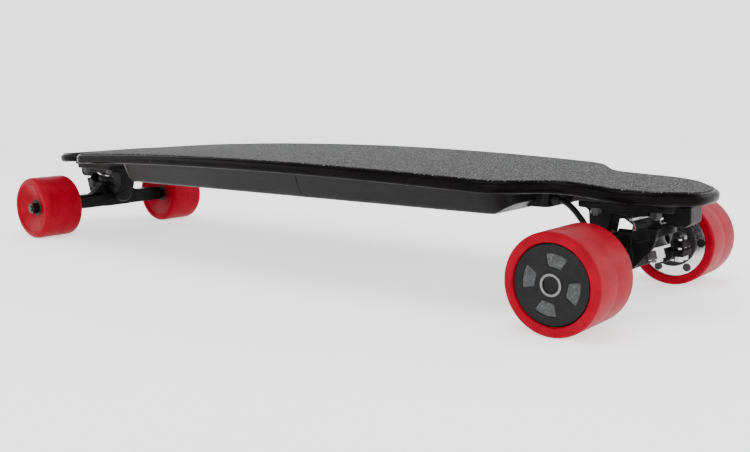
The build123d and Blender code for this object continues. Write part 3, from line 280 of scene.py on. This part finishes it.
def turned_aluminium(centre_x=-HALF_BASE, centre_z=REAR_R):
    """Lathe-turned aluminium: concentric tool marks that stretch the highlights round the axle."""
    s = Shader("turned_aluminium", Metallic=1.0, Anisotropic=0.65)
    away = s.radius(centre_x, centre_z)
    wobble = s.math("MULTIPLY", s.noise(3, 2), 0.25)
    lines = s.math("SINE", s.math("MULTIPLY", s.math("ADD", away, wobble), 24.0))
    tone = s.ramp(s.noise(7, 3), [(0.3, (0.80, 0.80, 0.81)), (0.7, (0.90, 0.90, 0.91))])
    rough = s.span(s.noise(1.2, 4, 0.7), 0.17, 0.30, 0.3, 0.7)
    tangent = s.node("ShaderNodeTangent", direction_type="RADIAL", axis="Y")
    s.link(tangent.outputs[0], s.bsdf.inputs["Tangent"])
    return s.done(tone, rough, s.bump(lines, 0.12, 0.02))


def black_disc():
    """Black anodised cover with a very fine bead-blasted surface and a few rubbed specks."""
    s = Shader("motor_black", Specular_IOR_Level=0.12)
    tone = s.ramp(s.noise(6, 5, 0.7), [(0.35, 0.0045), (0.75, 0.010)])
    specks = s.ramp(s.cells(3.6), [(0.0, 1.0), (0.03, 0.0)])
    colour = s.mix(s.math("MULTIPLY", specks, 0.3), tone, (0.12, 0.12, 0.12))
    rough = s.span(s.noise(3, 4), 0.36, 0.50, 0.3, 0.7)
    return s.done(colour, rough, s.bump(s.noise(0.22, 2), 0.25, 0.05))


def frosted():
    """Frosted lens moulded over the light ring: cloudy, crinkled, a little translucent."""
    s = Shader("window_plastic", Specular_IOR_Level=0.3, Coat_Weight=0.12, Coat_Roughness=0.18,
               Subsurface_Weight=0.15, Subsurface_Scale=0.002, Transmission_Weight=0.12)
    cloud = s.noise(2.6, 5, 0.62, distort=1.2)
    tone = s.ramp(cloud, [(0.28, (0.008, 0.0088, 0.0092)), (0.5, (0.024, 0.025, 0.026)),
                          (0.72, (0.085, 0.088, 0.088))])
    rough = s.span(s.noise(1.4, 4), 0.25, 0.5, 0.3, 0.7)
    return s.done(tone, rough, s.bump(cloud, 0.55, 0.35))


def rubber(name, base=0.012, rough=0.5, grain=0.4, soft=0.25):
    s = Shader(name, Specular_IOR_Level=0.14)
    tone = s.ramp(s.noise(5, 4, 0.65), [(0.3, base * 0.75), (0.7, base * 1.9)])
    dust = s.mix(s.span(s.noise(9, 6, 0.75), 0.0, 0.12, 0.55, 0.8), tone, (0.11, 0.105, 0.10))
    roughness = s.span(s.noise(1.6, 4), rough - 0.1, rough + 0.14, 0.3, 0.7)
    return s.done(dust, roughness, s.bump(s.noise(grain, 3), soft, 0.07))


def wrap_film():
    """Heat-shrunk film on the cells, with gloss and faint shrink lines."""
    s = Shader("cell_wrap", Specular_IOR_Level=0.5, Coat_Weight=0.4, Coat_Roughness=0.1)
    tone = s.ramp(s.noise(14, 2), [(0.3, (0.012, 0.09, 0.30)), (0.7, (0.02, 0.13, 0.42))])
    lines = s.noise(1.2, 3, 0.6, s.mapped((1, 0.1, 1)))
    return s.done(tone, s.span(lines, 0.2, 0.4), s.bump(lines, 0.15, 0.05))


def board():
    """Green solder mask with copper tracks showing through."""
    s = Shader("board", Specular_IOR_Level=0.5, Coat_Weight=0.3, Coat_Roughness=0.15)
    tracks = s.ramp(s.cells(4.5, feature="DISTANCE_TO_EDGE"), [(0.04, 1.0), (0.07, 0.0)])
    colour = s.mix(tracks, (0.006, 0.06, 0.022), (0.02, 0.14, 0.05))
    return s.done(colour, s.span(s.noise(2), 0.3, 0.5), s.bump(tracks, 0.3, 0.05))


def stator_mix():
    """Varnished copper turns on dark steel."""
    s = Shader("stator_steel", Metallic=0.9)
    turns = s.math("SINE", s.math("MULTIPLY", s.axis("Y"), 7.0))
    colour = s.mix(s.span(turns, 0, 1, -1, 1), (0.16, 0.055, 0.02), (0.48, 0.19, 0.075))
    return s.done(colour, s.span(s.noise(2), 0.25, 0.45), s.bump(turns, 0.5, 0.25))


MATS = {
    "deck_lacquer": lacquer(),
    "grip": grip(),
    "black_steel": steel("black_steel", 0.045, 0.34),
    "zinc_steel": steel("zinc_steel", 0.50, 0.26),
    "bearing_steel": steel("bearing_steel", 0.60, 0.20),
    "magnet_steel": steel("magnet_steel", 0.42, 0.30),
    "button_metal": steel("button_metal", 0.22, 0.30),
    "pad_rubber": rubber("pad_rubber", 0.012, 0.55),
    "lead_rubber": rubber("lead_rubber", 0.009, 0.34, 0.8, 0.15),
    "bushing_urethane": rubber("bushing_urethane", 0.016, 0.36, 1.2, 0.2),
    "cup_urethane": rubber("cup_urethane", 0.02, 0.40, 1.0, 0.2),
    "truck_black": cast_black(),
    "case_plastic": case_plastic(),
    "panel_plastic": cast_black("panel_plastic", 0.010, 0.32, 0.48),
    "cell_wrap": wrap_film(),
    "motor_aluminium": turned_aluminium(),
    "board": board(),
    "stator_steel": stator_mix(),
    "motor_black": black_disc(),
    "window_plastic": frosted(),
    "front_urethane": urethane("front_urethane", HALF_BASE, FRONT_R),
    "rear_urethane": urethane("rear_urethane", -HALF_BASE, REAR_R),
    "ring_silver": steel("ring_silver", 0.16, 0.26),
}


def dress(obj, name):
    """Gives an object one of the materials above."""
    mat = MATS[name]
    if not obj.material_slots:
        obj.data.materials.append(mat)
    for place in obj.material_slots:
        place.link = "OBJECT"
        place.material = mat


SLOT_OF = {row["node"]: row["material_slot"] for row in frame["record"]["subparts"]}
BODY_OF = {node: body for body, nodes in frame["record"]["behaviour"]["bodies"].items() for node in nodes}
OWN_LOOK = {
    "front_axle": "black_steel", "front_bearing_inners": "black_steel",
    "front_left_bearings": "pad_rubber", "front_right_bearings": "pad_rubber",
}
for node, obj in frame["nodes"].items():
    slot = OWN_LOOK.get(node, SLOT_OF[node])
    if slot == "wheel_urethane":
        slot = "front_urethane" if node.startswith("front") else "rear_urethane"
    dress(obj, slot)


# ---------------------------------------------------------------- mesh helpers
def add_object(name, mesh, body, material, stands_for=()):
    obj = bpy.data.objects.new(name, mesh)
    bpy.context.scene.collection.objects.link(obj)
    mesh.materials.append(MATS[material])
    for polygon in mesh.polygons:
        polygon.use_smooth = True
    if body:
        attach(obj, body)
    if stands_for:
        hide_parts(*stands_for)
    return obj


def mesh_from(name, bm):
    bmesh.ops.recalc_face_normals(bm, faces=bm.faces)
    mesh = bpy.data.meshes.new(name)
    bm.to_mesh(mesh)
    bm.free()
    return mesh


def lathe(name, profile, segments=128, closed=True):
    """Revolves (radius, height) points about local Z; closed profiles make a solid ring."""
    bm = bmesh.new()
    rings = []
    for radius, height in profile:
        ring = []
        for i in range(segments):
            turn = 2 * math.pi * i / segments
            ring.append(bm.verts.new((radius * math.cos(turn), radius * math.sin(turn), height)))
        rings.append(ring)
    pairs = list(zip(rings, rings[1:] + (rings[:1] if closed else [])))
    if not closed:
        pairs = pairs[:len(rings) - 1]
    for low, high in pairs:
        for i in range(segments):
            j = (i + 1) % segments
            bm.faces.new((low[i], low[j], high[j], high[i]))
    return mesh_from(name, bm)


def rounded(profile, corners, steps=6):
    """Rounds the corners of a closed (r, h) profile; corners maps a point's index to its radius."""
    out = []
    count = len(profile)
    for i, point in enumerate(profile):
        radius = corners.get(i, 0)
        if radius == 0:
            out.append(point)
            continue
        p = Vector(point)
        before = (Vector(profile[i - 1]) - p).normalized()
        after = (Vector(profile[(i + 1) % count]) - p).normalized()
        half = math.acos(max(-1, min(1, before.dot(after)))) / 2
        reach = radius / math.tan(half)
        centre = p + (before + after).normalized() * (radius / math.sin(half))
        first, last = p + before * reach - centre, p + after * reach - centre
        angle = first.angle_signed(last)
        for k in range(steps + 1):
            spun = first.copy()
            spun.rotate(Matrix.Rotation(-angle * k / steps, 2))
            out.append(tuple(centre + spun))
    return out


def about_axle(mesh, centre_x, centre_z, side):
    """Turns a lathe mesh from local Z to the axle's Y, on the left or right side."""
    turn = Matrix(((1, 0, 0), (0, 0, side), (0, 1, 0))).to_4x4()
    mesh.transform(Matrix.Translation((centre_x, 0, centre_z)) @ turn)
    if turn.to_3x3().determinant() < 0:
        mesh.flip_normals()
    mesh.update()
    return mesh


# ---------------------------------------------------------------- castings
def casting(node, material, voxel_mm, smoothing):
    """A softened copy of a machined solid: rounded edges and blended joints, as cast metal has."""
    source = frame["nodes"][node]
    mesh = source.data.copy()
    mesh.materials.clear()
    obj = bpy.data.objects.new(node + "_cast", mesh)
    bpy.context.scene.collection.objects.link(obj)
    remesh = obj.modifiers.new("remesh", "REMESH")
    remesh.mode = "VOXEL"
    remesh.voxel_size = voxel_mm * MM
    smooth = obj.modifiers.new("smooth", "SMOOTH")
    smooth.factor = 0.5
    smooth.iterations = smoothing
    graph = bpy.context.evaluated_depsgraph_get()
    baked = bpy.data.meshes.new_from_object(obj.evaluated_get(graph))
    bpy.data.objects.remove(obj)
    return add_object(node + "_cast", baked, BODY_OF[node], material, (node,))


for node in ("front_hanger", "rear_hanger", "front_baseplate", "rear_baseplate"):
    casting(node, "truck_black", CASTING_VOXEL, CASTING_SMOOTHING)


# ---------------------------------------------------------------- wheels
def wheel_mesh(name, profile, corners, seam_r, seam_h):
    """A moulded wheel; a thin raised parting line runs round the tread."""
    points = rounded(profile, corners, 8)
    out = []
    for a, b in zip(points, points[1:] + points[:1]):
        out.append(a)
        on_tread = abs(a[0] - seam_r) < 1e-5 and abs(b[0] - seam_r) < 1e-5
        if on_tread:
            sign = 1 if b[1] > a[1] else -1
            for off, rise in ((-0.4, 0), (-0.2, -0.02), (0, -0.035), (0.2, -0.02), (0.4, 0)):
                out.append((seam_r + rise * MM, seam_h + sign * off * MM))
    return lathe(name, out, 160)


def mm_points(points):
    return [(r * MM, h * MM) for r, h in points]


for side, sign in SIDES:
    y0, y1 = FRONT_FACES
    seat_in, seat_out = y0 + FRONT_DISHES[0], y1 - FRONT_DISHES[1]
    profile = mm_points([(11, seat_in), (13.5, seat_in), (30.5, y0 + 2), (32.5, y0), (40, y0), (40, y1),
                         (32, y1), (30, y1 - 2), (13.5, seat_out), (11, seat_out)])
    corners = {1: 1.2 * MM, 2: 3.0 * MM, 3: 1.2 * MM, 4: 6.5 * MM, 5: 6.5 * MM, 6: 1.2 * MM,
               7: 3.0 * MM, 8: 1.6 * MM}
    mesh = wheel_mesh(f"front_{side}_wheel_moulded", profile, corners, 40 * MM, 101 * MM)
    about_axle(mesh, HALF_BASE, FRONT_R, sign)
    add_object(f"front_{side}_wheel_moulded", mesh, f"front_{side}_wheel", "front_urethane",
               (f"front_{side}_wheel",))

    y0, y1 = REAR_FACES
    bore, rim = REAR_BORE, REAR_BORE + 0.8
    profile = mm_points([(bore, y0 + 0.8), (rim, y0), (41.5, y0), (41.5, y1), (rim, y1),
                         (bore, y1 - 0.8)])
    corners = {1: 0.3 * MM, 2: 2.8 * MM, 3: 2.8 * MM, 4: 0.3 * MM}
    mesh = wheel_mesh(f"rear_{side}_tyre_moulded", profile, corners, 41.5 * MM, 119.5 * MM)
    about_axle(mesh, -HALF_BASE, REAR_R, sign)
    add_object(f"rear_{side}_tyre_moulded", mesh, f"rear_{side}_wheel", "rear_urethane",
               (f"rear_{side}_tyre",))


# ---------------------------------------------------------------- motor covers
def window_outline(grow_mm=0.0, steps=5):
    """The trapezoid window's outline with rounded corners, in mm about the axle."""
    half = math.radians(23)
    r0, r1 = 13.6 - grow_mm, 25.0 + grow_mm
    w0, w1 = 13.6 * math.tan(half) + grow_mm, 25.0 * math.sin(half) + grow_mm
    edge = r1 * math.cos(half)
    arc = []
    sweep = math.atan2(w1, edge)
    for k in range(9):
        a = -sweep + 2 * sweep * k / 8
        arc.append((r1 * math.cos(a), r1 * math.sin(a)))
    points = arc + [(r0, w0), (r0, -w0)]
    last = len(points)
    radius = 1.6 + grow_mm
    return rounded(points, {0: radius, 8: radius, last - 2: radius, last - 1: radius}, steps)


def lens_mesh(name, turn_deg, y0, y1):
    """One domed window lens: rounded rim and a slightly crowned face."""
    bm = bmesh.new()
    layers = [(-0.05, y0), (-0.05, y1 - 0.55), (-0.25, y1 - 0.2), (-0.7, y1)]
    turn = math.radians(turn_deg)
    rings = []
    for grow, height in layers:
        ring = []
        for x, z in window_outline(grow):
            ring.append(bm.verts.new((
                (x * math.cos(turn) - z * math.sin(turn)) * MM,
                (x * math.sin(turn) + z * math.cos(turn)) * MM, height * MM)))
        rings.append(ring)
    for low, high in zip(rings, rings[1:]):
        count = len(low)
        for i in range(count):
            j = (i + 1) % count
            bm.faces.new((low[i], low[j], high[j], high[i]))
    bm.faces.new(rings[-1])
    bm.faces.new(list(reversed(rings[0])))
    return mesh_from(name, bm)


for side, sign in SIDES:
    bm = bmesh.new()
    for i in range(4):
        part = lens_mesh("lens", 11 + 90 * i, 143.7, 147.75)
        bm.from_mesh(part)
        bpy.data.meshes.remove(part)
    mesh = mesh_from(f"rear_{side}_lenses", bm)
    about_axle(mesh, -HALF_BASE, REAR_R, sign)
    add_object(f"rear_{side}_lenses", mesh, f"rear_{side}_wheel", "window_plastic",
               (f"rear_{side}_cover_windows",))
    ring = rounded(mm_points([(7.05, 147.6), (9.15, 147.6), (9.15, 148.95), (7.05, 148.95)]),
                   {2: 0.4 * MM, 3: 0.4 * MM}, 4)
    mesh = about_axle(lathe(f"rear_{side}_hub_ring", ring, 96), -HALF_BASE, REAR_R, sign)
    add_object(f"rear_{side}_hub_ring", mesh, f"rear_{side}_wheel", "ring_silver")


# ---------------------------------------------------------------- bushings
def king_frame(end):
    """Kingpin axis frame of the front (+1) or rear (-1) truck: Z runs up the pin to the baseplate."""
    axle = FRONT_R if end > 0 else REAR_R
    z_axis = Vector((-end * math.sin(TILT), 0, math.cos(TILT)))
    x_axis = Vector((end * math.cos(TILT), 0, math.sin(TILT)))
    y_axis = z_axis.cross(x_axis)
    turn = Matrix((x_axis, y_axis, z_axis)).transposed().to_4x4()
    return Matrix.Translation((end * (HALF_BASE + RING_X), 0, axle + RING_Z)) @ turn


def bushing(end, upper):
    """Barrel bushing with lips, a waist and a slight bulge where it is clamped."""
    name = f"{'front' if end > 0 else 'rear'}_{'board' if upper else 'road'}_bushing"
    low, high = BUSHING_LOW, BUSHING_HIGH
    span = high - low
    outer = []
    for k in range(15):
        t = k / 14
        waist = 1.15 * math.sin(math.pi * t) ** 1.4
        lip = 0.28 * math.exp(-((t - 0.08) / 0.06) ** 2) + 0.28 * math.exp(-((t - 0.92) / 0.06) ** 2)
        edge = 0.7 * (max(0, 1 - t / 0.05) + max(0, 1 - (1 - t) / 0.05))
        outer.append((12.1 - waist + lip - edge, low + span * t))
    profile = mm_points([(5.15, low)] + outer + [(5.15, high)])
    mesh = lathe(name, profile, 72)
    if not upper:
        mesh.transform(Matrix.Scale(-1, 4, (0, 0, 1)))
        mesh.flip_normals()
    place = king_frame(end)
    mesh.transform(place)
    obj = add_object(name, mesh, None, "bushing_urethane",
                     (("front_bushings" if end > 0 else "rear_bushings"),))
    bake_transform(obj)


for end in (1, -1):
    for upper in (True, False):
        bushing(end, upper)


# ---------------------------------------------------------------- motor leads
def lead(side, sign):
    """Jacketed motor lead along its route from the case to the hanger, built as one fixed tube."""
    curve = bpy.data.curves.new(f"{side}_lead_route", "CURVE")
    curve.dimensions = "3D"
    spline = curve.splines.new("NURBS")
    spline.points.add(len(LEAD_ROUTE) - 1)
    for point, (x, y, z) in zip(spline.points, LEAD_ROUTE):
        point.co = (x * MM, sign * y * MM, z * MM, 1)
    spline.order_u = 3
    spline.use_endpoint_u = True
    curve.resolution_u = 16
    curve.bevel_depth = LEAD_R * MM
    curve.bevel_resolution = 6
    curve.use_fill_caps = True
    holder = bpy.data.objects.new("lead_holder", curve)
    bpy.context.scene.collection.objects.link(holder)
    graph = bpy.context.evaluated_depsgraph_get()
    mesh = bpy.data.meshes.new_from_object(holder.evaluated_get(graph))
    bpy.data.objects.remove(holder)
    obj = add_object(f"{side}_lead_jacket", mesh, None, "lead_rubber",
                     (f"{side}_motor_lead",))
    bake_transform(obj)


for side, sign in SIDES:
    lead(side, sign)


# ---------------------------------------------------------------- studio
def studio():
    """Pale floor that curves up all round, with broad soft lights over it."""
    profile = [(0, 0)]
    floor_r, cove = STUDIO_FLOOR_R, STUDIO_COVE
    for k in range(1, 13):
        profile.append((floor_r * k / 12, 0))
    for k in range(1, 17):
        a = math.pi / 2 * k / 16
        profile.append((floor_r + cove * math.sin(a), cove * (1 - math.cos(a))))
    profile.append((floor_r + cove, STUDIO_WALL))
    mesh = lathe("studio_floor", [(max(r, 1e-4), h) for r, h in profile], 96, closed=False)
    floor = bpy.data.objects.new("studio_floor", mesh)
    bpy.context.scene.collection.objects.link(floor)
    for polygon in mesh.polygons:
        polygon.use_smooth = True
    s = Shader("studio_white", Specular_IOR_Level=0.1)
    s.bsdf.inputs["Emission Color"].default_value = (1, 1, 1, 1)
    s.bsdf.inputs["Emission Strength"].default_value = 0.95
    tone = s.ramp(s.noise(400, 2), [(0.3, 0.90), (0.7, 0.93)])
    mesh.materials.append(s.done(tone, s.span(s.noise(300), 0.85, 0.95)))

    def area(name, place, target, size, power, size_y=None):
        data = bpy.data.lights.new(name, "AREA")
        data.shape = "RECTANGLE"
        data.size = size
        data.size_y = size_y or size
        data.energy = power
        obj = bpy.data.objects.new(name, data)
        bpy.context.scene.collection.objects.link(obj)
        obj.location = place
        away = Vector(target) - Vector(place)
        obj.rotation_euler = away.to_track_quat("-Z", "Y").to_euler()

    area("key_top", (-0.2, 0.1, 1.7), (0, 0, 0), 1.6, 22, 1.0)
    area("side_fill", (-1.4, 1.6, 1.1), (-0.1, 0, 0.1), 1.3, 14)
    area("rear_strip", (-1.5, -1.3, 1.0), (-0.3, 0, 0.05), 1.1, 12)
    area("front_strip", (1.6, 1.2, 0.9), (0.3, 0, 0.05), 1.1, 9)

    world = bpy.data.worlds.new("studio_air")
    bpy.context.scene.world = world
    world.use_nodes = True
    back = world.node_tree.nodes["Background"]
    back.inputs["Color"].default_value = (1, 1, 1, 1)
    back.inputs["Strength"].default_value = 0.4


def camera():
    """The view from beside the left rear wheel, looking forward and across the board."""
    yaw, pitch, roll = (math.radians(turn) for turn in (CAMERA_YAW, CAMERA_PITCH, CAMERA_ROLL))
    ahead = Vector((math.cos(pitch) * math.cos(yaw), -math.cos(pitch) * math.sin(yaw), math.sin(pitch)))
    right = ahead.cross(Vector((0, 0, 1))).normalized()
    up = right.cross(ahead)
    right, up = (right * math.cos(roll) + up * math.sin(roll),
                 up * math.cos(roll) - right * math.sin(roll))
    turn = Matrix((right, up, -ahead)).transposed().to_4x4()
    data = bpy.data.cameras.new("studio_camera")
    data.sensor_fit = "HORIZONTAL"
    data.sensor_width = 36
    data.lens = 43.49
    data.clip_start = 0.01
    data.clip_end = 50
    obj = bpy.data.objects.new("studio_camera", data)
    bpy.context.scene.collection.objects.link(obj)
    obj.matrix_world = Matrix.Translation(CAMERA_AT) @ turn
    bpy.context.scene.camera = obj


studio()
camera()
